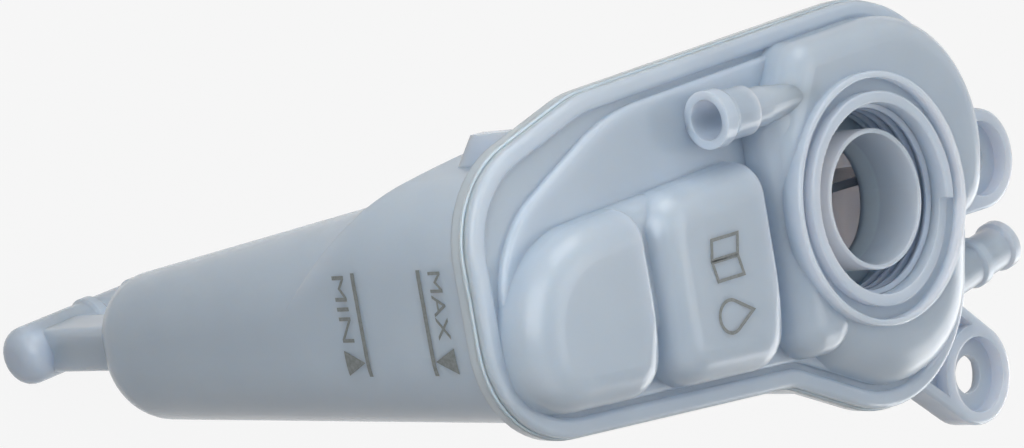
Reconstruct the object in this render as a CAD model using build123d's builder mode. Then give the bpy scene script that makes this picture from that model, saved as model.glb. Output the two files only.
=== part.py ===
# Coolant expansion tank for a car engine bay: two moulded shells of natural
# polypropylene, hot-plate welded face to face at a double-lip flange.
# Frame: origin on the filler neck axis in the weld plane, +Z up through the
# neck, -X along the tank towards its deep end, +Y towards the low deck.
import os
from math import acos, atan2, cos, hypot, radians, sin, tan

from build123d import *

os.makedirs("parts", exist_ok=True)

# Weld flange outline, seen along the neck
TAIL_X = -122.5          # deep end of the flange
NOSE_X = 49.5            # neck end of the flange, at the neck axis
NOSE_SLOPE = 15.0        # degrees, the neck end slants back towards -Y
SIDE_Y = 46.6            # +Y edge, at the neck axis
SIDE_SLOPE = 3.8         # degrees, the +Y edge closes in towards the tail
BACK_Y = -42.4           # -Y edge, at the neck axis
BACK_SLOPE = 4.5         # degrees
KINK_X = -27.0           # where the -Y edge turns out round the neck
KINK_SLOPE = 25.0        # degrees
BEND_X = -82.0           # where the +Y edge bends in towards the tail
BEND_SLOPE = 18.0        # degrees
NOSE_SIDE_RADIUS = 38.0
NOSE_BACK_RADIUS = 34.0
KINK_RADIUS = 14.0
TAIL_BACK_RADIUS = 25.5
TAIL_SIDE_RADIUS = 25.0
BEND_RADIUS = 30.0

# Shell walls and the two welded lips
WALL = 2.6
LOWER_LIP = 2.8          # thickness of the lower lip
UPPER_LIP = 2.2          # thickness of the upper lip in its valley
BEAD_HEIGHT = 3.6        # top of the rounded bead along the upper lip
BEAD_WIDTH = 4.4
BEAD_RADIUS = 1.3
LIP_STEP = 0.6           # the upper lip stands back from the lower one
LOWER_OVERHANG = 4.2     # flange edge to lower wall
SIDE_SETBACK = 2.6       # the lower +Y wall stands this much further in
UPPER_OVERHANG = 6.4     # flange edge to upper wall

# Lower shell: a basin under the flange, a deep chamber under the tail
DRAFT = 0.3              # degrees
CHAMBER_DEPTH = 152.0
CHAMBER_SIDE_Y = 28.8    # +Y wall of the chamber, carried up to the weld plane
CHAMBER_SIDE_SLOPE = 8.0
CHAMBER_NOSE_X = -34.0   # chamber wall towards the neck, carried up likewise
CHAMBER_NOSE_SLOPE = 6.0
CHAMBER_NOSE_RADIUS = 17.0
CHAMBER_BACK_RADIUS = 19.0
CHAMBER_SIDE_RADIUS = 26.0
CHAMBER_SIDE_TIGHTENING = 11.0  # the +Y tail corner tightens by this to the bottom
CHAMBER_BOTTOM_RADIUS = 13.0
FLARE_TOP_Z = -8.5       # the +Y wall starts to curve in here towards the chamber
FLARE_RADIUS = 60.0
FLARE_SLOPE = 52.0       # degrees from level
BASIN_NOSE_DEPTH = 34.0  # depth of the basin at the neck end
BASIN_FLOOR_SLOPE = 16.0 # degrees, the basin floor falls towards the chamber
BASIN_EDGE_RADIUS = 7.0

# Upper shell: a low deck, a dome under the neck and three pillows
DECK_HEIGHT = 4.2
DECK_EDGE_RADIUS = 1.2
DECK_CUT_X = -111.6      # the deck is cut off across its tail corner from here
DECK_CUT_Y = 15.7
DECK_CUT_SLOPE = 27.7    # degrees
DECK_TAIL_RADIUS = 34.0
DECK_SIDE_RADIUS = 60.0
ROOF_HEIGHT = 14.4
DOME_TAIL_X = -29.0      # dome wall towards the pillows
DOME_TAIL_Y = 22.0       # where it turns towards the +Y edge
DOME_SIDE_X = -14.5      # where it meets the +Y edge
DOME_FACET_REACH = 38.5  # from the neck axis to the wall facing -X and -Y
DOME_FACET_SLOPE = 45.0  # degrees
DOME_CORNER_RADIUS = 12.0
DOME_EDGE_RADIUS = 13.0
CREST_RISE = 0.3         # the crest on the +Y side stands above the rest of the dome
CREST_SPREAD = 1.4       # and further out
CREST_BACK_Y = -17.0
CREST_CORNER_RADIUS = 7.0
CREST_EDGE_RADIUS = 6.5
PILLOW_SIDE_Y = 20.3     # +Y flank of the first two pillows, at the neck axis
PILLOW_HEIGHT = 15.0
# Pillows: start, end, +Y flank, height, then the radii of tail side, tail back and end corners
PILLOWS = (
    (-118.4, -80.0, PILLOW_SIDE_Y, PILLOW_HEIGHT, 25.0, 15.0, 10.5),
    (-76.0, -38.4, PILLOW_SIDE_Y, PILLOW_HEIGHT, 10.5, 10.5, 10.5),
    (-32.8, -12.0, 33.0, 13.8, 9.4, 9.4, 9.4),
)
PILLOW_DRAFT = 5.0       # degrees
PILLOW_EDGE_RADIUS = 8.0
PILLOW_SLANT = 14.0      # the end wall slants by this before it is cut off square
PILLOW_END_RADIUS = 2.0
# Saddle that carries the +Y flank of the first two pillows across the notch between them
SADDLE_START = -92.0
SADDLE_END = -62.0
SADDLE_BACK_Y = -18.0
SADDLE_HEIGHT = 9.8
SADDLE_CORNER_RADIUS = 7.5
SADDLE_EDGE_RADIUS = 6.0

# Filler neck: ring, collar with the cap thread, and the sealing tube
NECK_HEIGHT = 17.0
COLLAR_BORE = 46.0
COLLAR_WALL = 2.8
RING_BORE = 58.0
RING_WALL = 1.6
MOAT_DEPTH = 3.0
TUBE_BORE = 31.6
TUBE_WALL = 1.2
TUBE_SET_BACK = 2.8      # tube rim below the collar rim
TUBE_END_Z = -4.6
NECK_FLOOR_Z = -2.0      # floor of the ring gap between tube and collar
NECK_FLOOR = 2.0
RIM_RADIUS = 0.5
RAMP_START = -10.6       # degrees, where the collar rim drops to the thread start
RAMP_END = -140.0        # degrees
RAMP_DROP = 2.4

# Vent nipple over the deck
VENT_Y = 28.5
VENT_Z = 11.0
VENT_MOUTH_X = -50.3
VENT_ROOT_X = -8.0
VENT_ROOT = 4.0
VENT_ROOT_LENGTH = 24.0
VENT_TUBE = 9.6
VENT_SLEEVE = 11.9       # the hose sits on this
VENT_SLEEVE_LENGTH = 12.6
VENT_BEAD = 13.7         # round the mouth
VENT_BEAD_LENGTH = 3.6
VENT_BEAD_EASE = 1.8
VENT_BORE = 9.6          # at the mouth
VENT_BORE_DEPTH = 11.0
VENT_PASSAGE = 5.0
VENT_PASSAGE_START = 6.0 # along the nipple from its root
VENT_WEB = 3.0
VENT_WEB_LENGTH = 15.5   # from the root

# Return nipple at the neck end
RETURN_ROOT = (33.0, -33.0, -11.0)
RETURN_TURN = 10.0       # degrees about Z
RETURN_LENGTH = 43.0
RETURN_TUBE = 11.4
RETURN_BEAD = 13.2
RETURN_BORE = 8.0
BEAD_LENGTH = 3.2
BEAD_SPACING = 13.0

# Outlet under the deep chamber
OUTLET_CAP = (-113.0, -11.0, -190.0)
OUTLET_TURN = 6.0        # degrees about Z
OUTLET_LENGTH = 46.0
OUTLET_TUBE = 15.6
OUTLET_BEAD = 17.2
OUTLET_BORE = 11.0
OUTLET_CAP_RADIUS = 5.0
OUTLET_COLLAR_AT = 25.0  # along the outlet from its closed end
WELL_START = 7.0         # along the outlet from its closed end
WELL_LENGTH = 14.0
WELL_WIDTH = 12.0
WELL_WALL = 2.4
WELL_CORNER_RADIUS = 2.0
GUSSET = 2.0
GUSSET_REACH = 4.5
GUSSET_HEIGHT = 11.0

# Mounting ears: centre, then the two points where their arms leave the wall
EARS = (
    ((65.5, -1.5), (40.0, 18.0), (43.5, -14.5)),
    ((50.5, -55.0), (40.0, -29.0), (17.0, -45.0)),
)
EAR_TOP_Z = -5.0
EAR_HEIGHT = 9.0
EAR_RING = 26.0
EAR_SEAT = 19.4
EAR_SEAT_DEPTH = 3.8
EAR_HOLE = 10.0
EAR_RELIEF = 16.4        # recess on the underside of the ring
EAR_RELIEF_DEPTH = 3.0
EAR_RIB = 2.8
EAR_POCKET_DEPTH = 3.4   # from above and from below
EAR_EDGE_RADIUS = 1.0

# Rib under the flange on the +Y side
RIB_X = -96.8
RIB = 4.0
RIB_SET_BACK = 0.6       # behind the flange edge
RIB_DEPTH = 15.7         # at its outer edge
RIB_FOOT_DEPTH = 22.5    # at the wall

# Baffle in the basin under the neck
BAFFLE = 2.2
BAFFLE_Y = 1.0
BAFFLE_TOP_Z = -12.0


def side_edge(x):
    """Y of the straight +Y edge of the flange at x."""
    return SIDE_Y + x * tan(radians(SIDE_SLOPE))


def back_edge(x):
    """Y of the straight -Y edge of the flange at x."""
    return BACK_Y - x * tan(radians(BACK_SLOPE))


def crossing(point, slope, other, other_slope):
    """Where two lines meet, each given by a point and its angle to +X."""
    first = Axis((*point, 0), (cos(radians(slope)), sin(radians(slope)), 0))
    second = Axis((*other, 0), (cos(radians(other_slope)), sin(radians(other_slope)), 0))
    meeting = first.intersect(second)
    return (meeting.X, meeting.Y)


def rounded_plan(corners, inset):
    """Face of (point, radius) corners moved in by inset; a negative radius is an inner corner."""
    with BuildSketch() as plan:
        with BuildLine():
            Polyline(*[point for point, _ in corners], close=True)
        make_face()
        if inset:
            offset(amount=-inset, kind=Kind.INTERSECTION)
        for point, radius in corners:
            fillet(plan.vertices().sort_by_distance((*point, 0))[0], abs(radius - inset))
    return plan.sketch


def tank_plan(inset):
    """Flange outline moved in by inset, as a face in the weld plane."""
    return rounded_plan(FLANGE_CORNERS, inset)


NOSE_LINE = ((NOSE_X, 0), 90 - NOSE_SLOPE)
SIDE_LINE = ((0, SIDE_Y), SIDE_SLOPE)
KINK = (KINK_X, back_edge(KINK_X))
BEND = (BEND_X, side_edge(BEND_X))
TAIL_LINE = ((TAIL_X, 0), 90)
NOSE_SIDE = crossing(*NOSE_LINE, *SIDE_LINE)
NOSE_BACK = crossing(*NOSE_LINE, KINK, -KINK_SLOPE)
FLANGE_CORNERS = (
    (NOSE_SIDE, NOSE_SIDE_RADIUS),
    (NOSE_BACK, NOSE_BACK_RADIUS),
    (KINK, -KINK_RADIUS),
    ((TAIL_X, back_edge(TAIL_X)), TAIL_BACK_RADIUS),
    (crossing(*TAIL_LINE, BEND, BEND_SLOPE), TAIL_SIDE_RADIUS),
    (BEND, BEND_RADIUS),
)
BASIN_BEND = (BEND_X, side_edge(BEND_X) - SIDE_SETBACK)
BASIN_CORNERS = (
    (crossing(*NOSE_LINE, (0, SIDE_Y - SIDE_SETBACK), SIDE_SLOPE), NOSE_SIDE_RADIUS),
    *FLANGE_CORNERS[1:4],
    (crossing(*TAIL_LINE, BASIN_BEND, BEND_SLOPE), TAIL_SIDE_RADIUS),
    (BASIN_BEND, BEND_RADIUS),
)
DOME_TAIL_LINE = ((DOME_TAIL_X - UPPER_OVERHANG, 0), 90)
DOME_FACET_POINT = (
    -(DOME_FACET_REACH + UPPER_OVERHANG) * sin(radians(DOME_FACET_SLOPE)),
    -(DOME_FACET_REACH + UPPER_OVERHANG) * cos(radians(DOME_FACET_SLOPE)),
)
DOME_TAIL_SIDE = (DOME_TAIL_X - UPPER_OVERHANG, DOME_TAIL_Y)
DOME_SIDE = (DOME_SIDE_X - UPPER_OVERHANG, side_edge(DOME_SIDE_X))
DOME_ROUND = DOME_CORNER_RADIUS + UPPER_OVERHANG
CREST_ROUND = CREST_CORNER_RADIUS + UPPER_OVERHANG
DOME_CORNERS = (
    (NOSE_SIDE, NOSE_SIDE_RADIUS),
    (NOSE_BACK, NOSE_BACK_RADIUS),
    (crossing(KINK, -KINK_SLOPE, DOME_FACET_POINT, -DOME_FACET_SLOPE), DOME_ROUND),
    (crossing(*DOME_TAIL_LINE, DOME_FACET_POINT, -DOME_FACET_SLOPE), DOME_ROUND),
    (DOME_TAIL_SIDE, DOME_ROUND),
    (DOME_SIDE, DOME_ROUND),
)
CREST_CORNERS = (
    (NOSE_SIDE, NOSE_SIDE_RADIUS),
    (crossing(*NOSE_LINE, (0, CREST_BACK_Y), 0), DOME_ROUND),
    ((DOME_TAIL_SIDE[0], CREST_BACK_Y), DOME_ROUND),
    (DOME_TAIL_SIDE, DOME_ROUND),
    (DOME_SIDE, CREST_ROUND),
)
DECK_CUT_POINT = (
    DECK_CUT_X - UPPER_OVERHANG * sin(radians(DECK_CUT_SLOPE)),
    DECK_CUT_Y + UPPER_OVERHANG * cos(radians(DECK_CUT_SLOPE)),
)
DECK_CORNERS = (
    *FLANGE_CORNERS[:4],
    (crossing(*TAIL_LINE, DECK_CUT_POINT, DECK_CUT_SLOPE), DECK_TAIL_RADIUS),
    (crossing(*SIDE_LINE, DECK_CUT_POINT, DECK_CUT_SLOPE), DECK_SIDE_RADIUS),
)


def leaning_plane(point, heading, slope):
    """Plane of a wall facing heading, tipped to look down by slope degrees."""
    facing = Vector(*heading) * cos(radians(slope))
    return Plane(origin=point, z_dir=facing - Vector(0, 0, sin(radians(slope))))


def chamber_plan(depth, wall):
    """Level section of the deep chamber at a depth, moved in by the wall."""
    ease = LOWER_OVERHANG + depth * tan(radians(DRAFT))
    side = CHAMBER_SIDE_Y - depth * tan(radians(CHAMBER_SIDE_SLOPE))
    nose = CHAMBER_NOSE_X - depth * tan(radians(CHAMBER_NOSE_SLOPE))
    tail = TAIL_X + ease
    tightening = depth / CHAMBER_DEPTH
    corners = (
        ((nose, side), CHAMBER_NOSE_RADIUS),
        ((nose, back_edge(nose) + ease), CHAMBER_NOSE_RADIUS),
        ((tail, back_edge(tail) + ease), CHAMBER_BACK_RADIUS),
        ((tail, side), CHAMBER_SIDE_RADIUS - tightening * CHAMBER_SIDE_TIGHTENING),
    )
    return rounded_plan(corners, wall)


def chamber_form(wall):
    """Deep chamber: outside with no wall, hollow with the wall taken off."""
    with BuildPart() as chamber:
        for depth in (0, CHAMBER_DEPTH - wall):
            with BuildSketch(Plane.XY.offset(-depth)):
                add(chamber_plan(depth, wall))
        loft(ruled=True)
        fillet(chamber.faces().sort_by(Axis.Z)[0].edges(), CHAMBER_BOTTOM_RADIUS - wall)
    return chamber.part


def flare_cut(wall):
    """Room outside the +Y wall where it curves in towards the chamber."""
    heading = Vector(cos(radians(SIDE_SLOPE)), sin(radians(SIDE_SLOPE)), 0)
    outwards = Vector(0, 0, 1).cross(heading)
    with BuildPart() as cut:
        with BuildSketch(Plane(origin=(0, SIDE_Y - SIDE_SETBACK, 0), x_dir=outwards, z_dir=heading)):
            with BuildLine():
                centre = (-LOWER_OVERHANG - FLARE_RADIUS, FLARE_TOP_Z)
                curve = CenterArc(centre, FLARE_RADIUS - wall, 0, FLARE_SLOPE - 90)
                slope = PolarLine(curve @ 1, 2 * CHAMBER_DEPTH, 180 + FLARE_SLOPE)
                Polyline(slope @ 1, (SIDE_Y, (slope @ 1).Y), (SIDE_Y, FLARE_TOP_Z), curve @ 0)
            make_face()
        extrude(amount=2 * NOSE_X - 2 * TAIL_X, both=True)
    return cut.part


def basin_form(wall):
    """Basin under the whole flange, with its flared side and sloping floor."""
    flare = flare_cut(wall)
    floor_point = (NOSE_X, 0, -BASIN_NOSE_DEPTH)
    floor = leaning_plane(floor_point, (1, 0, 0), 90 - BASIN_FLOOR_SLOPE).offset(-wall)
    with BuildPart() as basin:
        with BuildSketch():
            add(rounded_plan(BASIN_CORNERS, LOWER_OVERHANG + wall))
        extrude(amount=-CHAMBER_DEPTH, taper=DRAFT)
        add(flare, mode=Mode.SUBTRACT)
        split(bisect_by=floor, keep=Keep.BOTTOM)
        lowest = basin.faces().filter_by(lambda face: face.normal_at().dot(floor.z_dir) > 0.999)
        rim = lowest.edges().filter_by(
            lambda edge: edge.center().X > CHAMBER_NOSE_X and flare.distance_to(edge.center()) > WALL
        )
        fillet(rim, BASIN_EDGE_RADIUS - wall)
    return basin.part


def lower_form(wall):
    """Body of the lower shell, or its hollow with the wall taken off."""
    chamber = chamber_form(wall)
    basin = basin_form(wall)
    with BuildPart() as form:
        add(chamber)
        add(basin)
    return form.part


def deck_form(wall):
    """Low deck inside the lip."""
    with BuildPart() as deck:
        with BuildSketch():
            add(rounded_plan(DECK_CORNERS, UPPER_OVERHANG + wall))
        extrude(amount=DECK_HEIGHT - wall)
        if not wall:
            fillet(deck.faces().sort_by(Axis.Z)[-1].edges(), DECK_EDGE_RADIUS)
    return deck.part


def raised_form(corners, inset, height, draft, edge_radius):
    """Block raised over a plan, its top edge rounded."""
    with BuildPart() as raised:
        with BuildSketch():
            add(rounded_plan(corners, inset))
        extrude(amount=height, taper=draft)
        fillet(raised.faces().sort_by(Axis.Z)[-1].edges(), edge_radius)
    return raised.part


def flank(side, x):
    """Point at x on a +Y flank parallel to the flange, given by its Y at the neck axis."""
    return (x, side + side_edge(x) - SIDE_Y)


def pillow_form(start, end, side, height, radii, wall):
    """Loaf-shaped pillow, cut off square at its end towards the neck."""
    tail_side_radius, tail_back_radius, end_radius = radii
    corners = (
        (flank(side, start), tail_side_radius),
        ((start, back_edge(start) + UPPER_OVERHANG), tail_back_radius),
        ((end, back_edge(end) + UPPER_OVERHANG), end_radius),
        (flank(side, end + PILLOW_SLANT), end_radius),
    )
    loaf = raised_form(corners, wall, height - wall, PILLOW_DRAFT, PILLOW_EDGE_RADIUS - wall)
    with BuildPart() as pillow:
        add(loaf)
        split(bisect_by=Plane(origin=(end - wall, 0, 0), z_dir=(1, 0, 0)), keep=Keep.BOTTOM)
        if not wall:
            cut_edges = pillow.faces().sort_by(Axis.X)[-1].edges()
            fillet(cut_edges.sort_by(Axis.Z)[1:], PILLOW_END_RADIUS)
    return pillow.part


def saddle_form(wall):
    """Saddle between the first two pillows, in line with their flank."""
    corners = (
        (flank(PILLOW_SIDE_Y, SADDLE_START), SADDLE_CORNER_RADIUS),
        ((SADDLE_START, SADDLE_BACK_Y), SADDLE_CORNER_RADIUS),
        ((SADDLE_END, SADDLE_BACK_Y), SADDLE_CORNER_RADIUS),
        (flank(PILLOW_SIDE_Y, SADDLE_END), SADDLE_CORNER_RADIUS),
    )
    return raised_form(corners, wall, SADDLE_HEIGHT - wall, PILLOW_DRAFT, SADDLE_EDGE_RADIUS - wall)


def upper_form(wall):
    """Body of the upper shell above the weld plane, or its hollow."""
    dome_inset = UPPER_OVERHANG + wall
    blocks = [
        raised_form(DOME_CORNERS, dome_inset, ROOF_HEIGHT - wall, DRAFT, DOME_EDGE_RADIUS - wall),
        raised_form(
            CREST_CORNERS,
            dome_inset - CREST_SPREAD,
            ROOF_HEIGHT + CREST_RISE - wall,
            DRAFT,
            CREST_EDGE_RADIUS - wall,
        ),
    ]
    for start, end, side, height, *radii in PILLOWS:
        blocks.append(pillow_form(start, end, side, height, radii, wall))
    blocks.append(saddle_form(wall))
    deck = deck_form(wall)
    with BuildPart() as form:
        add(deck)
        add(blocks)
    return form.part


def turned(points, root, turn):
    """Solid of (along, radius) points turned about a level line from root."""
    heading = Vector(cos(radians(turn)), sin(radians(turn)), 0)
    with BuildPart() as body:
        with BuildSketch(Plane(origin=root, x_dir=heading, z_dir=heading.cross(Vector(0, 0, 1)))):
            with BuildLine():
                Polyline(*points, close=True)
            make_face()
        revolve(axis=Axis(root, heading))
    return body.part


def beaded(tube, bead, length, collar_at):
    """Profile of a hose nipple with a bead at its tip and a stop collar."""
    slim = tube / 2
    full = bead / 2
    ease = (bead - tube) / 2
    points = [(0, 0), (0, slim)]
    for start in (collar_at, length - BEAD_LENGTH - ease):
        points += [(start, slim), (start + ease, full)]
        points += [(start + BEAD_LENGTH, full), (start + BEAD_LENGTH + ease, slim)]
    return points + [(length, 0)]


def bore(diameter, start, end):
    """Profile of a plain round hole along a nipple."""
    return [(start, 0), (start, diameter / 2), (end, diameter / 2), (end, 0)]


def along(root, turn, distance):
    """Point at a distance along a level line from root."""
    return Vector(*root) + Vector(cos(radians(turn)), sin(radians(turn)), 0) * distance


def arm_plan(centre, side_point, back_point):
    """Straight-sided arm of an ear, its edges tangent to the ring."""
    touches = []
    for point, way in ((side_point, -1), (back_point, 1)):
        gap = (point[0] - centre[0], point[1] - centre[1])
        angle = atan2(gap[1], gap[0]) + way * acos(EAR_RING / 2 / hypot(*gap))
        touches.append((centre[0] + EAR_RING / 2 * cos(angle), centre[1] + EAR_RING / 2 * sin(angle)))
    with BuildSketch() as plan:
        with BuildLine():
            Polyline(side_point, touches[0], touches[1], back_point, close=True)
        make_face()
    return plan.sketch


def ear_form(centre, side_point, back_point):
    """Mounting ear: a ring with a grommet seat, on an arm with a web at half its height."""
    arm = arm_plan(centre, side_point, back_point)
    with BuildPart() as ear:
        with BuildSketch(Plane.XY.offset(EAR_TOP_Z)):
            add(arm)
            with Locations(centre):
                Circle(EAR_RING / 2)
        extrude(amount=-EAR_HEIGHT)
        fillet(ear.edges().filter_by(Plane.XY), EAR_EDGE_RADIUS)
        for level, way in ((EAR_TOP_Z, -1), (EAR_TOP_Z - EAR_HEIGHT, 1)):
            with BuildSketch(Plane.XY.offset(level)):
                add(arm)
                offset(amount=-EAR_RIB)
                with Locations(centre):
                    Circle(EAR_RING / 2, mode=Mode.SUBTRACT)
            extrude(amount=way * EAR_POCKET_DEPTH, mode=Mode.SUBTRACT)
        with Locations((*centre, EAR_TOP_Z)):
            CounterBoreHole(EAR_HOLE / 2, EAR_SEAT / 2, EAR_SEAT_DEPTH, depth=EAR_HEIGHT)
        with BuildSketch(Plane.XY.offset(EAR_TOP_Z - EAR_HEIGHT)):
            with Locations(centre):
                Circle(EAR_RELIEF / 2)
        extrude(amount=EAR_RELIEF_DEPTH, mode=Mode.SUBTRACT)
    return ear.part


# Lower shell
lower_body = lower_form(0)
lower_hollow = lower_form(WALL)
return_nipple = turned(
    beaded(RETURN_TUBE, RETURN_BEAD, RETURN_LENGTH, RETURN_LENGTH - BEAD_SPACING - BEAD_LENGTH),
    RETURN_ROOT,
    RETURN_TURN,
)
return_bore = turned(bore(RETURN_BORE, -WALL * 2, RETURN_LENGTH), RETURN_ROOT, RETURN_TURN)
outlet = turned(
    beaded(OUTLET_TUBE, OUTLET_BEAD, OUTLET_LENGTH, OUTLET_COLLAR_AT),
    OUTLET_CAP,
    OUTLET_TURN,
)
outlet_bore = turned(
    bore(OUTLET_BORE, WELL_START + WELL_WALL, OUTLET_LENGTH),
    OUTLET_CAP,
    OUTLET_TURN,
)
well_centre = along(OUTLET_CAP, OUTLET_TURN, WELL_START + WELL_LENGTH / 2)
well_plane = Plane(origin=well_centre, x_dir=along((0, 0, 0), OUTLET_TURN, 1), z_dir=(0, 0, 1))
well_height = -CHAMBER_DEPTH - OUTLET_CAP[2]
ears = [ear_form(*ear) for ear in EARS]
rib_edge = crossing(BEND, BEND_SLOPE, (RIB_X, 0), 90)[1] - RIB_SET_BACK
rib_foot = rib_edge - LOWER_OVERHANG - SIDE_SETBACK - WALL / 2

with BuildPart() as baffle:
    add(lower_form(WALL / 2))
    with Locations((0, BAFFLE_Y, BAFFLE_TOP_Z)):
        Box(
            2 * (NOSE_X - CHAMBER_NOSE_X),
            BAFFLE,
            CHAMBER_DEPTH,
            align=(Align.CENTER, Align.CENTER, Align.MAX),
            mode=Mode.INTERSECT,
        )
    split(bisect_by=Plane(origin=(CHAMBER_NOSE_X, 0, 0), z_dir=(1, 0, 0)), keep=Keep.TOP)

with BuildPart() as lower_shell:
    add(lower_body)
    with BuildSketch():
        add(tank_plan(0))
    extrude(amount=-LOWER_LIP)
    # Outlet pipe, its well from the chamber bottom and two gussets
    add(outlet)
    fillet(lower_shell.edges().sort_by_distance(OUTLET_CAP)[0], OUTLET_CAP_RADIUS)
    with BuildSketch(well_plane):
        RectangleRounded(WELL_LENGTH, WELL_WIDTH, WELL_CORNER_RADIUS)
    extrude(amount=well_height + WALL / 2)
    for way in (-1, 1):
        with BuildSketch(Plane(well_centre, x_dir=well_plane.y_dir * way, z_dir=well_plane.x_dir * way)):
            with BuildLine():
                Polyline(
                    (0, well_height + WALL / 2),
                    (WELL_WIDTH / 2 + GUSSET_REACH, well_height + WALL / 2),
                    (WELL_WIDTH / 2, well_height - GUSSET_HEIGHT),
                    (0, well_height - GUSSET_HEIGHT),
                    close=True,
                )
            make_face()
        extrude(amount=GUSSET / 2, both=True)
    # Return nipple and mounting ears at the neck end
    add(return_nipple)
    add(ears)
    # Rib under the flange
    with BuildSketch(Plane(origin=(RIB_X, 0, 0), x_dir=(0, 1, 0), z_dir=(1, 0, 0))):
        with BuildLine():
            Polyline(
                (rib_foot, 0),
                (rib_edge, 0),
                (rib_edge, -RIB_DEPTH),
                (rib_foot, -RIB_FOOT_DEPTH),
                close=True,
            )
        make_face()
    extrude(amount=RIB / 2, both=True)
    # Hollow, passages and baffle
    add(lower_hollow, mode=Mode.SUBTRACT)
    add(baffle.part)
    add(return_bore, mode=Mode.SUBTRACT)
    add(outlet_bore, mode=Mode.SUBTRACT)
    with BuildSketch(well_plane):
        RectangleRounded(WELL_LENGTH - 2 * WELL_WALL, WELL_WIDTH - 2 * WELL_WALL, WELL_CORNER_RADIUS / 2)
    extrude(amount=well_height + 2 * WALL, mode=Mode.SUBTRACT)

# Upper shell
upper_body = upper_form(0)
upper_hollow = upper_form(WALL)
vent_root = (VENT_ROOT_X, VENT_Y, VENT_Z)
vent_length = VENT_ROOT_X - VENT_MOUTH_X
vent_nipple = turned(
    [
        (0, 0),
        (0, VENT_ROOT / 2),
        (VENT_ROOT_LENGTH, VENT_TUBE / 2),
        (vent_length - VENT_SLEEVE_LENGTH, VENT_TUBE / 2),
        (vent_length - VENT_SLEEVE_LENGTH, VENT_SLEEVE / 2),
        (vent_length - VENT_BEAD_LENGTH - VENT_BEAD_EASE, VENT_SLEEVE / 2),
        (vent_length - VENT_BEAD_LENGTH, VENT_BEAD / 2),
        (vent_length, VENT_BEAD / 2),
        (vent_length, 0),
    ],
    vent_root,
    180,
)
vent_bore = turned(
    [
        (VENT_PASSAGE_START, 0),
        (VENT_PASSAGE_START, VENT_PASSAGE / 2),
        (vent_length - VENT_BORE_DEPTH, VENT_PASSAGE / 2),
        (vent_length - VENT_BORE_DEPTH, VENT_BORE / 2),
        (vent_length, VENT_BORE / 2),
        (vent_length, 0),
    ],
    vent_root,
    180,
)

ramp_start = Vector(COLLAR_BORE / 2, 0, 0).rotate(Axis.Z, RAMP_START)
ramp_end = Vector(COLLAR_BORE / 2, 0, 0).rotate(Axis.Z, RAMP_END)
ramp_run = ramp_end - ramp_start
ramp_rise = Vector(0, 0, RAMP_DROP)
ramp_plane = Plane(
    origin=ramp_start + Vector(0, 0, NECK_HEIGHT - RAMP_DROP),
    x_dir=ramp_run + ramp_rise,
    z_dir=ramp_run.cross(Vector(0, 0, 1)).cross(ramp_run + ramp_rise),
)
with BuildPart() as ramp:
    with BuildSketch(Plane.XY.offset(NECK_HEIGHT - RAMP_DROP)):
        with BuildLine():
            reach = COLLAR_BORE / 2 + COLLAR_WALL
            CenterArc((0, 0), reach, RAMP_END, RAMP_START - RAMP_END)
            CenterArc((0, 0), COLLAR_BORE / 2 - COLLAR_WALL, RAMP_END, RAMP_START - RAMP_END)
            Line(ramp_start * (1 - 2 * COLLAR_WALL / COLLAR_BORE), ramp_start * (2 * reach / COLLAR_BORE))
            Line(ramp_end * (1 - 2 * COLLAR_WALL / COLLAR_BORE), ramp_end * (2 * reach / COLLAR_BORE))
        make_face()
    extrude(amount=2 * RAMP_DROP)
    split(bisect_by=ramp_plane, keep=Keep.TOP)

with BuildPart() as upper_shell:
    # Lip with its rounded bead
    with BuildSketch():
        add(tank_plan(LIP_STEP))
    extrude(amount=UPPER_LIP)
    with BuildSketch():
        add(tank_plan(LIP_STEP))
        add(tank_plan(LIP_STEP + BEAD_WIDTH), mode=Mode.SUBTRACT)
    extrude(amount=BEAD_HEIGHT)
    fillet(upper_shell.faces().sort_by(Axis.Z)[-1].edges(), BEAD_RADIUS)
    add(upper_body)
    # Vent nipple on its web
    add(vent_nipple)
    with Locations((VENT_ROOT_X, VENT_Y, VENT_Z)):
        Box(VENT_WEB_LENGTH, VENT_WEB, VENT_Z, align=(Align.MAX, Align.CENTER, Align.MAX))
    # Hollow, then the double-wall neck set into the roof
    add(upper_hollow, mode=Mode.SUBTRACT)
    Cylinder(
        RING_BORE / 2,
        2 * NECK_HEIGHT,
        align=(Align.CENTER, Align.CENTER, Align.CENTER),
        mode=Mode.SUBTRACT,
    )
    with BuildSketch(Plane.XZ) as neck_profile:
        with BuildLine():
            collar_in = COLLAR_BORE / 2
            collar_out = collar_in + COLLAR_WALL
            ring_in = RING_BORE / 2
            ring_out = ring_in + RING_WALL
            tube_in = TUBE_BORE / 2
            tube_out = tube_in + TUBE_WALL
            Polyline(
                (ring_out, ROOF_HEIGHT - WALL),
                (ring_out, NECK_HEIGHT),
                (ring_in, NECK_HEIGHT),
                (ring_in, NECK_HEIGHT - MOAT_DEPTH),
                (collar_out, NECK_HEIGHT - MOAT_DEPTH),
                (collar_out, NECK_HEIGHT),
                (collar_in, NECK_HEIGHT),
                (collar_in, NECK_FLOOR_Z),
                (tube_out, NECK_FLOOR_Z),
                (tube_out, NECK_HEIGHT - TUBE_SET_BACK),
                (tube_in, NECK_HEIGHT - TUBE_SET_BACK),
                (tube_in, TUBE_END_Z),
                (tube_out, TUBE_END_Z),
                (tube_out, NECK_FLOOR_Z - NECK_FLOOR),
                (collar_out, NECK_FLOOR_Z - NECK_FLOOR),
                (collar_out, ROOF_HEIGHT - WALL),
                close=True,
            )
        make_face()
        rims = neck_profile.vertices().group_by(Axis.Y)
        fillet(rims[-1] + rims[-2], RIM_RADIUS)
    revolve(axis=Axis.Z)
    add(ramp.part, mode=Mode.SUBTRACT)
    add(vent_bore, mode=Mode.SUBTRACT)

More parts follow.
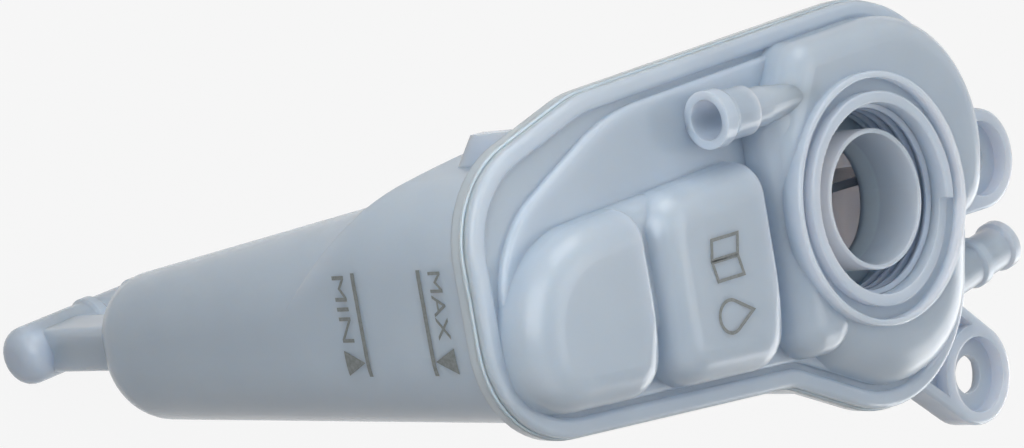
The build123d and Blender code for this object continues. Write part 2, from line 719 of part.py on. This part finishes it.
lower_shell.part.label = "lower_shell"
export_step(lower_shell.part, "parts/lower_shell.step")
upper_shell.part.label = "upper_shell"
export_step(upper_shell.part, "parts/upper_shell.step")
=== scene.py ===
import math

import bmesh
import bpy
from mathutils import Matrix, Vector, noise
from mathutils.bvhtree import BVHTree


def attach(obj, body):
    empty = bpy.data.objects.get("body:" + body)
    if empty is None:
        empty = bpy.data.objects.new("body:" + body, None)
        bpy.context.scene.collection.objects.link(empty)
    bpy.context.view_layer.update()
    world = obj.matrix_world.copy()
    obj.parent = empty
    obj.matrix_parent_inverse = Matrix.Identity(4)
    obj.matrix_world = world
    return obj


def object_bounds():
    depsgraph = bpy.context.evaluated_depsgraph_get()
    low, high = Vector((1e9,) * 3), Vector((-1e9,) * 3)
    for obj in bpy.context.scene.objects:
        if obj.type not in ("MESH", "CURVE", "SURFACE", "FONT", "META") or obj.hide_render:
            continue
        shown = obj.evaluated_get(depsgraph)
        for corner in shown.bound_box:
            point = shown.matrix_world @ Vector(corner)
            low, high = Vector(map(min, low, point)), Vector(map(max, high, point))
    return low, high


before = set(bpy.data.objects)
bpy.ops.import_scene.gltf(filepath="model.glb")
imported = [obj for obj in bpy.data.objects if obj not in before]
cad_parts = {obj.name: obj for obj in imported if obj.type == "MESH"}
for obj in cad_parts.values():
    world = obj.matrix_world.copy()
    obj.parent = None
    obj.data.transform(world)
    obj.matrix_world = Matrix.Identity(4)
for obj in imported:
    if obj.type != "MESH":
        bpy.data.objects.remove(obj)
cad_low, cad_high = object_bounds()

# The two shells of the tank. Each is one injection moulding in unpigmented polypropylene,
# and the pair is hot-plate welded along the double lip that runs round the flange.
MM = 0.001


def linear(hex_colour):
    """An sRGB hex colour as linear red, green, blue and alpha."""
    channels = [int(hex_colour[start:start + 2], 16) / 255 for start in (1, 3, 5)]
    straight = [c / 12.92 if c <= 0.04045 else ((c + 0.055) / 1.055) ** 2.4 for c in channels]
    return (*straight, 1.0)


def bare_tree(owner):
    """The emptied node tree of a material or a world."""
    owner.use_nodes = True
    owner.node_tree.nodes.clear()
    return owner.node_tree


def node(tree, kind, sockets, **settings):
    """Adds a shader node. A socket given another node's output is linked to it, and any other is set."""
    made = tree.nodes.new(kind)
    for name, value in settings.items():
        setattr(made, name, value)
    for name, value in sockets.items():
        if isinstance(value, bpy.types.NodeSocket):
            tree.links.new(value, made.inputs[name])
        else:
            made.inputs[name].default_value = value
    return made


# Natural polypropylene, injection moulded against a spark-eroded tool: milky grey where light
# scatters back, warm where it comes through, softly glossy, with a faint cloudiness from the melt.
# Along the weld it is whiter: partly the melt whitened by the hot plate as it cooled slowly,
# and partly painted light, which brightens the lips.
MELT_CLOUD = 26 * MM
CLOUD_THIN, CLOUD_THICK = 0.2, 0.8  # the melt changes between these values of the noise
THIN_COLOUR, THICK_COLOUR = "#BCCBDD", "#C6D4E5"
THIN_ROUGHNESS, THICK_ROUGHNESS = 0.18, 0.24
# The weld band's lighter colour: part whitened melt, part painted light on the lips.
WELD_WHITE_AND_PAINTED_LIGHT = "#D4E5F2"
WHITE_AND_LIT_MIDDLE = -0.9 * MM  # just under the weld plane, in the lower lip
WHITE_AND_LIT_HALF = 2.2 * MM
WHITE_AND_LIT_FADE = 0.8 * MM
EDGE_RADIUS = 0.5 * MM
SINK_WAVE = 14 * MM
SINK_DEPTH = 0.6 * MM
SINK_STRENGTH = 0.12
TOOL_GRAIN = 0.5 * MM  # the real grain is a tenth of this, too fine to show
GRAIN_DEPTH = 0.1 * MM
GRAIN_STRENGTH = 0.06
PLASTIC_IOR = 1.49
LIGHT_SPREAD = (1.0, 0.82, 0.72)  # red goes furthest inside the plastic
LIGHT_DEPTH = 14 * MM
polypropylene = bpy.data.materials.new("natural_polypropylene_moulded")
tree = bare_tree(polypropylene)
place = node(tree, "ShaderNodeTexCoord", {}).outputs["Object"]
cloud = node(tree, "ShaderNodeTexNoise",
             {"Vector": place, "Scale": 1 / MELT_CLOUD, "Detail": 1.0})
tint = node(tree, "ShaderNodeValToRGB", {"Fac": cloud.outputs["Fac"]})
melt_stops = ((CLOUD_THIN, THIN_COLOUR), (CLOUD_THICK, THICK_COLOUR))
for stop, (value, colour) in zip(tint.color_ramp.elements, melt_stops):
    stop.position = value
    stop.color = linear(colour)
height = node(tree, "ShaderNodeSeparateXYZ", {"Vector": place})
off_weld = node(tree, "ShaderNodeMath",
                {0: height.outputs["Z"], 1: WHITE_AND_LIT_MIDDLE}, operation="SUBTRACT")
off_weld = node(tree, "ShaderNodeMath", {0: off_weld.outputs[0]}, operation="ABSOLUTE")
# The band round the weld plane is painted lighter: part whitened melt, part painted light.
whitened_and_lit = node(tree, "ShaderNodeMapRange",
                {"Value": off_weld.outputs[0], "From Min": WHITE_AND_LIT_HALF,
                 "From Max": WHITE_AND_LIT_HALF + WHITE_AND_LIT_FADE, "To Min": 1.0, "To Max": 0.0})
# Sockets 6 and 7 of a Mix node are its two colours, and output 2 is the mixed one.
body = node(tree, "ShaderNodeMix",
            {0: whitened_and_lit.outputs["Result"], 6: tint.outputs["Color"], 7: linear(WELD_WHITE_AND_PAINTED_LIGHT)},
            data_type="RGBA")
gloss = node(tree, "ShaderNodeMapRange",
             {"Value": cloud.outputs["Fac"], "From Min": CLOUD_THIN, "From Max": CLOUD_THICK,
              "To Min": THIN_ROUGHNESS, "To Max": THICK_ROUGHNESS})
rounded = node(tree, "ShaderNodeBevel", {"Radius": EDGE_RADIUS}, samples=4)
wave = node(tree, "ShaderNodeTexNoise",
            {"Vector": place, "Scale": 1 / SINK_WAVE, "Detail": 1.0})
sunk = node(tree, "ShaderNodeBump",
            {"Height": wave.outputs["Fac"], "Strength": SINK_STRENGTH, "Distance": SINK_DEPTH,
             "Normal": rounded.outputs["Normal"]})
grain = node(tree, "ShaderNodeTexNoise",
             {"Vector": place, "Scale": 1 / TOOL_GRAIN, "Detail": 2.0})
relief = node(tree, "ShaderNodeBump",
              {"Height": grain.outputs["Fac"], "Strength": GRAIN_STRENGTH, "Distance": GRAIN_DEPTH,
               "Normal": sunk.outputs["Normal"]})
skin = node(tree, "ShaderNodeBsdfPrincipled",
            {"Base Color": body.outputs[2], "Roughness": gloss.outputs["Result"],
             "IOR": PLASTIC_IOR, "Subsurface Weight": 1.0, "Subsurface Radius": LIGHT_SPREAD,
             "Subsurface Scale": LIGHT_DEPTH, "Normal": relief.outputs["Normal"]})
node(tree, "ShaderNodeOutputMaterial", {"Surface": skin.outputs["BSDF"]})

for name in ("lower_shell", "upper_shell"):
    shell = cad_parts[name]
    shell.data.materials.clear()
    shell.data.materials.append(polypropylene)

# The weld bead in the corner between the two lips: melt that the hot-plate weld squeezed out.
# It is the shells' own polypropylene, uneven in thickness, and runs round the whole flange.
BEAD_RADIUS = 0.5 * MM
BEAD_WANDER = 0.35
BEAD_LUMP = 7 * MM
WELD_PLANE_SLACK = 0.01 * MM
MERGE_REACH = 0.001 * MM
RIDGE_LIGHT_DEPTH = 1.5 * MM


def add_piece(name, bm, material):
    """Makes a piece of the tank from a bmesh, riding on the root with the shells."""
    mesh = bpy.data.meshes.new(name)
    bm.to_mesh(mesh)
    bm.free()
    mesh.materials.append(material)
    piece = bpy.data.objects.new(name, mesh)
    bpy.context.scene.collection.objects.link(piece)
    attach(piece, "root")
    return piece


# The same melt where it stands on a shell in a thin ridge: light turns round near its surface.
ridge_polypropylene = polypropylene.copy()
ridge_polypropylene.name = "natural_polypropylene_ridge"
ridge_skin = ridge_polypropylene.node_tree.nodes[skin.name]
ridge_skin.inputs["Subsurface Scale"].default_value = RIDGE_LIGHT_DEPTH

# The bead follows the rim of the upper shell's weld face, from its tail end round to the +Y side.
bm = bmesh.new()
bm.from_mesh(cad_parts["upper_shell"].data)
bmesh.ops.remove_doubles(bm, verts=bm.verts, dist=MERGE_REACH)
weld_faces = {face for face in bm.faces
              if max(abs(vert.co.z) for vert in face.verts) < WELD_PLANE_SLACK}
rim = {edge for edge in bm.edges if len(weld_faces.intersection(edge.link_faces)) == 1}
corner = min((vert for edge in rim for vert in edge.verts), key=lambda vert: vert.co.to_tuple())
outline = []
while onward := rim.intersection(corner.link_edges):
    outline.append(corner.co.copy())
    step = max(onward, key=lambda edge: edge.other_vert(corner).co.y)
    rim.remove(step)
    corner = step.other_vert(corner)
bm.free()
path = bpy.data.curves.new("weld_bead", "CURVE")
path.dimensions = "3D"
path.bevel_depth = BEAD_RADIUS
path.bevel_resolution = 2
spline = path.splines.new("POLY")
spline.use_cyclic_u = True
spline.points.add(len(outline) - 1)
for point, spot in zip(spline.points, outline):
    point.co = (*spot, 1.0)
    point.radius = 1.0 + BEAD_WANDER * noise.noise(spot / BEAD_LUMP)
holder = bpy.data.objects.new("weld_bead", path)
bm = bmesh.new()
bm.from_mesh(bpy.data.meshes.new_from_object(holder))
bpy.data.objects.remove(holder)
bmesh.ops.recalc_face_normals(bm, faces=bm.faces)
add_piece("weld_bead", bm, ridge_polypropylene)

# The female thread that the pressure cap screws into. It is moulded inside the collar of the
# upper shell, by a core that is unscrewed from the tool, and fades out at both ends.
COLLAR_BORE = 23.0 * MM  # its radius
THREAD_DEPTH = 1.2 * MM
THREAD_PITCH = 3.0 * MM
THREAD_START = -0.8 * MM
THREAD_TURNS = 4.6
FADE_TURNS = 0.3
FADE_LEAST = 0.02  # of the depth, so that the ends don't fold flat
STEPS_PER_TURN = 96
ROOT_OVERLAP = 0.15 * MM
ROOT_WIDTH = 2.1 * MM
CREST_WIDTH = 0.7 * MM
root_reach = COLLAR_BORE + ROOT_OVERLAP
crest_reach = COLLAR_BORE - THREAD_DEPTH
bm = bmesh.new()
section = [bm.verts.new((reach, 0, THREAD_START + up)) for reach, up in (
    (root_reach, -ROOT_WIDTH / 2), (crest_reach, -CREST_WIDTH / 2),
    (crest_reach, CREST_WIDTH / 2), (root_reach, ROOT_WIDTH / 2))]
profile = bm.faces.new(section)
bmesh.ops.spin(bm, geom=[profile, *profile.edges, *section], cent=(0, 0, 0), axis=(0, 0, 1),
               dvec=(0, 0, THREAD_PITCH / STEPS_PER_TURN), angle=THREAD_TURNS * math.tau,
               steps=round(THREAD_TURNS * STEPS_PER_TURN))
for vert in bm.verts:
    turn = (vert.co.z - THREAD_START) / THREAD_PITCH
    fade = max(FADE_LEAST, min(1.0, turn / FADE_TURNS, (THREAD_TURNS - turn) / FADE_TURNS))
    reach = math.hypot(vert.co.x, vert.co.y)
    vert.co.xy *= (root_reach - (root_reach - reach) * fade) / reach
bmesh.ops.recalc_face_normals(bm, faces=bm.faces)
add_piece("cap_thread", bm, ridge_polypropylene)

# The level marks on the tail wall of the lower shell: two lines, their words and two arrowheads.
# A laser chars the skin of the moulding, so they are the tank's own polypropylene turned grey.
# They are drawn flat in millimetres, along their line and up from it, and laid on the wall.
LINE_LENGTH = 24.3
LINE_WIDTH = 1.2
LINE_START_Y = 8.9
LOW_LEVEL_Z = -42.4
FULL_LEVEL_Z = -19.7
OFF_THE_TAIL_X = -150  # clear of the wall, where the drawing is laid on from
WORD_START = 0.5
WORD_LENGTH = 15.6
WORD_HEIGHT = 4.0
WORD_GAP = 3.3
ARROW_START, ARROW_TIP, ARROW_END = 18, 21, 24
ARROW_NEAR = 0.9
ARROW_FAR = 7.6
MARK_LIFT = 0.06 * MM
MARK_DEPTH = 0.16 * MM

# Polypropylene charred by a laser: matt grey, in fine specks of lighter and darker char.
CHAR_SPECK = 0.8 * MM
CHAR_STOPS = ((0.30, "#6E7373"), (0.72, "#838989"))  # values of the noise and their colours
CHAR_ROUGHNESS = 0.5
charred = bpy.data.materials.new("laser_charred_polypropylene")
tree = bare_tree(charred)
place = node(tree, "ShaderNodeTexCoord", {}).outputs["Object"]
speckle = node(tree, "ShaderNodeTexNoise",
               {"Vector": place, "Scale": 1 / CHAR_SPECK, "Detail": 2.0})
char = node(tree, "ShaderNodeValToRGB", {"Fac": speckle.outputs["Fac"]})
for stop, (value, colour) in zip(char.color_ramp.elements, CHAR_STOPS):
    stop.position = value
    stop.color = linear(colour)
burnt = node(tree, "ShaderNodeBsdfPrincipled",
             {"Base Color": char.outputs["Color"], "Roughness": CHAR_ROUGHNESS, "IOR": PLASTIC_IOR})
node(tree, "ShaderNodeOutputMaterial", {"Surface": burnt.outputs["BSDF"]})


def word_shapes(word, start, foot):
    """Triangles of a word, its lower left corner at start and foot, in millimetres."""
    curve = bpy.data.curves.new(word, "FONT")
    curve.body = word
    holder = bpy.data.objects.new(word, curve)
    bpy.context.scene.collection.objects.link(holder)
    depsgraph = bpy.context.evaluated_depsgraph_get()
    flat = bpy.data.meshes.new_from_object(holder.evaluated_get(depsgraph))
    bpy.data.objects.remove(holder)
    across = [v.co.x for v in flat.vertices]
    upward = [v.co.y for v in flat.vertices]
    wide = WORD_LENGTH / (max(across) - min(across))
    tall = WORD_HEIGHT / (max(upward) - min(upward))
    return [[(start + (across[i] - min(across)) * wide, foot + (upward[i] - min(upward)) * tall)
             for i in face.vertices] for face in flat.polygons]


def lay_mark(name, shapes, corner, along, up, shell, inward):
    """Lays flat shapes, given in millimetres along and up, on a shell and sinks them into its skin."""
    bm = bmesh.new()
    for shape in shapes:
        bm.faces.new([bm.verts.new(corner + (along * u + up * v) * MM) for u, v in shape])
    bmesh.ops.remove_doubles(bm, verts=bm.verts, dist=MERGE_REACH)
    # A cut at each millimetre lets the mark follow the curve of the shell.
    for cut in range(1, math.ceil(max(u for shape in shapes for u, v in shape))):
        bmesh.ops.bisect_plane(bm, geom=bm.verts[:] + bm.edges[:] + bm.faces[:],
                               plane_co=corner + along * cut * MM, plane_no=along)
    surface = BVHTree.FromPolygons([shell.matrix_world @ v.co for v in shell.data.vertices],
                                   [tuple(face.vertices) for face in shell.data.polygons])
    for vert in bm.verts:
        vert.co = surface.ray_cast(vert.co, inward)[0] - inward * MARK_LIFT
    sunk = bmesh.ops.extrude_face_region(bm, geom=bm.faces[:], use_keep_orig=True)
    bmesh.ops.translate(bm, verts=[g for g in sunk["geom"] if isinstance(g, bmesh.types.BMVert)],
                        vec=inward * MARK_DEPTH)
    bmesh.ops.recalc_face_normals(bm, faces=bm.faces)
    add_piece(name, bm, charred)


line = [(0, -LINE_WIDTH / 2), (LINE_LENGTH, -LINE_WIDTH / 2),
        (LINE_LENGTH, LINE_WIDTH / 2), (0, LINE_WIDTH / 2)]
arrow_under = [(ARROW_START, -ARROW_FAR), (ARROW_END, -ARROW_FAR), (ARROW_TIP, -ARROW_NEAR)]
arrow_over = [(ARROW_START, ARROW_FAR), (ARROW_TIP, ARROW_NEAR), (ARROW_END, ARROW_FAR)]
for name, level, arrow, word, foot in (
        ("level_mark_low", LOW_LEVEL_Z, arrow_under, "MIN", -WORD_GAP - WORD_HEIGHT),
        ("level_mark_full", FULL_LEVEL_Z, arrow_over, "MAX", WORD_GAP)):
    lay_mark(name, [line, arrow, *word_shapes(word, WORD_START, foot)],
             Vector((OFF_THE_TAIL_X, LINE_START_Y, level)) * MM, Vector((0, -1, 0)),
             Vector((0, 0, 1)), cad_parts["lower_shell"], Vector((1, 0, 0)))

# The service mark on top of the middle pillow, charred by the same laser: a plain drop for the
# coolant and an open book for the manual, drawn as outlines.
STROKE = 0.8
MITRE_LEAST = 0.3  # keeps the stroke short in a sharp corner
DROP_MIDDLE, DROP_FOOT, DROP_TIP = 19.6, -1.6, 6.8
DROP_RADIUS = 4.2
DROP_START, DROP_SWEEP = 150, 240  # degrees of the round part
DROP_STEPS = 28
BOOK_LEFT = [(1.0, -4.2), (6.4, -5.4), (6.4, 4.2), (1.0, 5.4)]
BOOK_RIGHT = [(6.0, -5.4), (11.4, -4.2), (11.4, 5.4), (6.0, 4.2)]
OVER_THE_PILLOW = Vector((-55.5, 3.5, 40)) * MM  # clear of the roof


def outline_shapes(points):
    """A closed line of even width drawn inside a run of points."""
    corners = [Vector(point) for point in points]
    following = corners[1:] + corners[:1]
    inner = []
    for before, corner, after in zip(corners[-1:] + corners[:-1], corners, following):
        arriving = (corner - before).normalized()
        leaving = (after - corner).normalized()
        bisector = Vector((-arriving.y - leaving.y, arriving.x + leaving.x)).normalized()
        spread = max(bisector.dot(Vector((-leaving.y, leaving.x))), MITRE_LEAST)
        inner.append(corner + bisector * STROKE / spread)
    return list(zip(corners, following, inner[1:] + inner[:1], inner))


angles = [math.radians(DROP_START + DROP_SWEEP * i / DROP_STEPS) for i in range(DROP_STEPS + 1)]
drop = [(DROP_MIDDLE + DROP_RADIUS * math.cos(angle), DROP_FOOT + DROP_RADIUS * math.sin(angle))
        for angle in angles]
drop.append((DROP_MIDDLE, DROP_TIP))
lay_mark("service_mark",
         [*outline_shapes(drop), *outline_shapes(BOOK_LEFT), *outline_shapes(BOOK_RIGHT)],
         OVER_THE_PILLOW, Vector((0, -1, 0)), Vector((1, 0, 0)),
         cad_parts["upper_shell"], Vector((0, 0, -1)))

# The studio floor: a plain matt sheet just under the tank, wide enough to fill the picture.
# The camera sees it nearly white, with the tank's faint shadow on it.
FLOOR_HALF = 4.0
FLOOR_GAP = 1 * MM
FLOOR_COLOUR = "#909090"
WHITE_SHARE = 0.9  # the rest of the floor is matt and keeps the shadow


def seen_directly(tree):
    """Above 0 for camera, glossy and transmission rays, which meet the white background."""
    ray = node(tree, "ShaderNodeLightPath", {})
    seen = node(tree, "ShaderNodeMath", {0: ray.outputs["Is Camera Ray"], 1: ray.outputs["Is Glossy Ray"]},
                operation="ADD")
    seen = node(tree, "ShaderNodeMath", {0: seen.outputs[0], 1: ray.outputs["Is Transmission Ray"]},
                operation="ADD")
    return seen.outputs[0]


floor_material = bpy.data.materials.new("pale_floor")
tree = bare_tree(floor_material)
share = node(tree, "ShaderNodeMath", {0: seen_directly(tree), 1: WHITE_SHARE},
             operation="MULTIPLY", use_clamp=True)
matt = node(tree, "ShaderNodeBsdfDiffuse", {"Color": linear(FLOOR_COLOUR)})
white = node(tree, "ShaderNodeEmission", {"Color": linear("#FFFFFF"), "Strength": 1.0})
blend = node(tree, "ShaderNodeMixShader", {0: share.outputs[0], 1: matt.outputs[0], 2: white.outputs[0]})
node(tree, "ShaderNodeOutputMaterial", {"Surface": blend.outputs[0]})
bm = bmesh.new()
bmesh.ops.create_grid(bm, x_segments=1, y_segments=1, size=FLOOR_HALF)
bmesh.ops.translate(bm, verts=bm.verts, vec=(0, 0, cad_low.z - FLOOR_GAP))
mesh = bpy.data.meshes.new("floor")
bm.to_mesh(mesh)
bm.free()
mesh.materials.append(floor_material)
floor = bpy.data.objects.new("floor", mesh)
bpy.context.scene.collection.objects.link(floor)

# The studio light is a pale surround that fills the shadows a little, with five soft lamps: over
# the filler neck, beside the low deck, off the tail, a weak one off the tail's other side, and a
# broad one beyond the ears.
SURROUND_COLOUR = "#FBFCFF"
SURROUND_FILL = 0.20
SOFT_LAMPS = (  # name, place and width in metres, watts
    ("soft_lamp_over", (0.26, 0.06, 0.72), 0.50, 1.35),
    ("soft_lamp_side", (0.05, 0.75, 0.25), 0.50, 2.0),
    ("soft_lamp_tail", (-0.36, 0.16, 0.14), 0.30, 0.80),
    ("soft_lamp_low", (-0.35, -0.35, 0.30), 0.40, 0.3),
    ("soft_lamp_back", (0.70, -0.40, 0.10), 0.60, 3.2),
)
LAMP_TARGET = Vector((-0.03, 0.0, -0.06))
world = bpy.data.worlds.new("surround")
tree = bare_tree(world)
strength = node(tree, "ShaderNodeMapRange",
                {"Value": seen_directly(tree), "To Min": SURROUND_FILL, "To Max": 1.0})
sky = node(tree, "ShaderNodeBackground",
           {"Color": linear(SURROUND_COLOUR), "Strength": strength.outputs["Result"]})
node(tree, "ShaderNodeOutputWorld", {"Surface": sky.outputs[0]})
bpy.context.scene.world = world
for name, spot, width, power in SOFT_LAMPS:
    lamp = bpy.data.lights.new(name, "AREA")
    lamp.shape = "SQUARE"
    lamp.size = width
    lamp.energy = power
    stand = bpy.data.objects.new(name, lamp)
    bpy.context.scene.collection.objects.link(stand)
    stand.visible_camera = False
    stand.location = spot
    stand.rotation_euler = (LAMP_TARGET - Vector(spot)).to_track_quat("-Z", "Y").to_euler()

# The camera, standing where the photograph was taken from: off the tail and above, rolled
# so that the side with the low deck is up in the picture.
SENSOR_WIDTH = 36.0
LENS = 117.28
CAMERA_SPOT = (-0.60367, 0.09491, 0.53751)
RIGHT = Vector((0.7093, -0.1745, 0.68297))
UP = Vector((0.20036, 0.97882, 0.04201))
BACK = Vector((-0.67584, 0.10704, 0.72924))
camera_data = bpy.data.cameras.new("camera")
camera_data.sensor_fit = "HORIZONTAL"
camera_data.sensor_width = SENSOR_WIDTH
camera_data.lens = LENS
camera = bpy.data.objects.new("camera", camera_data)
bpy.context.scene.collection.objects.link(camera)
turned = Matrix((RIGHT, UP, BACK)).transposed().to_4x4()
camera.matrix_world = Matrix.Translation(CAMERA_SPOT) @ turned
bpy.context.scene.camera = camera
bpy.context.scene.view_settings.view_transform = "Standard"
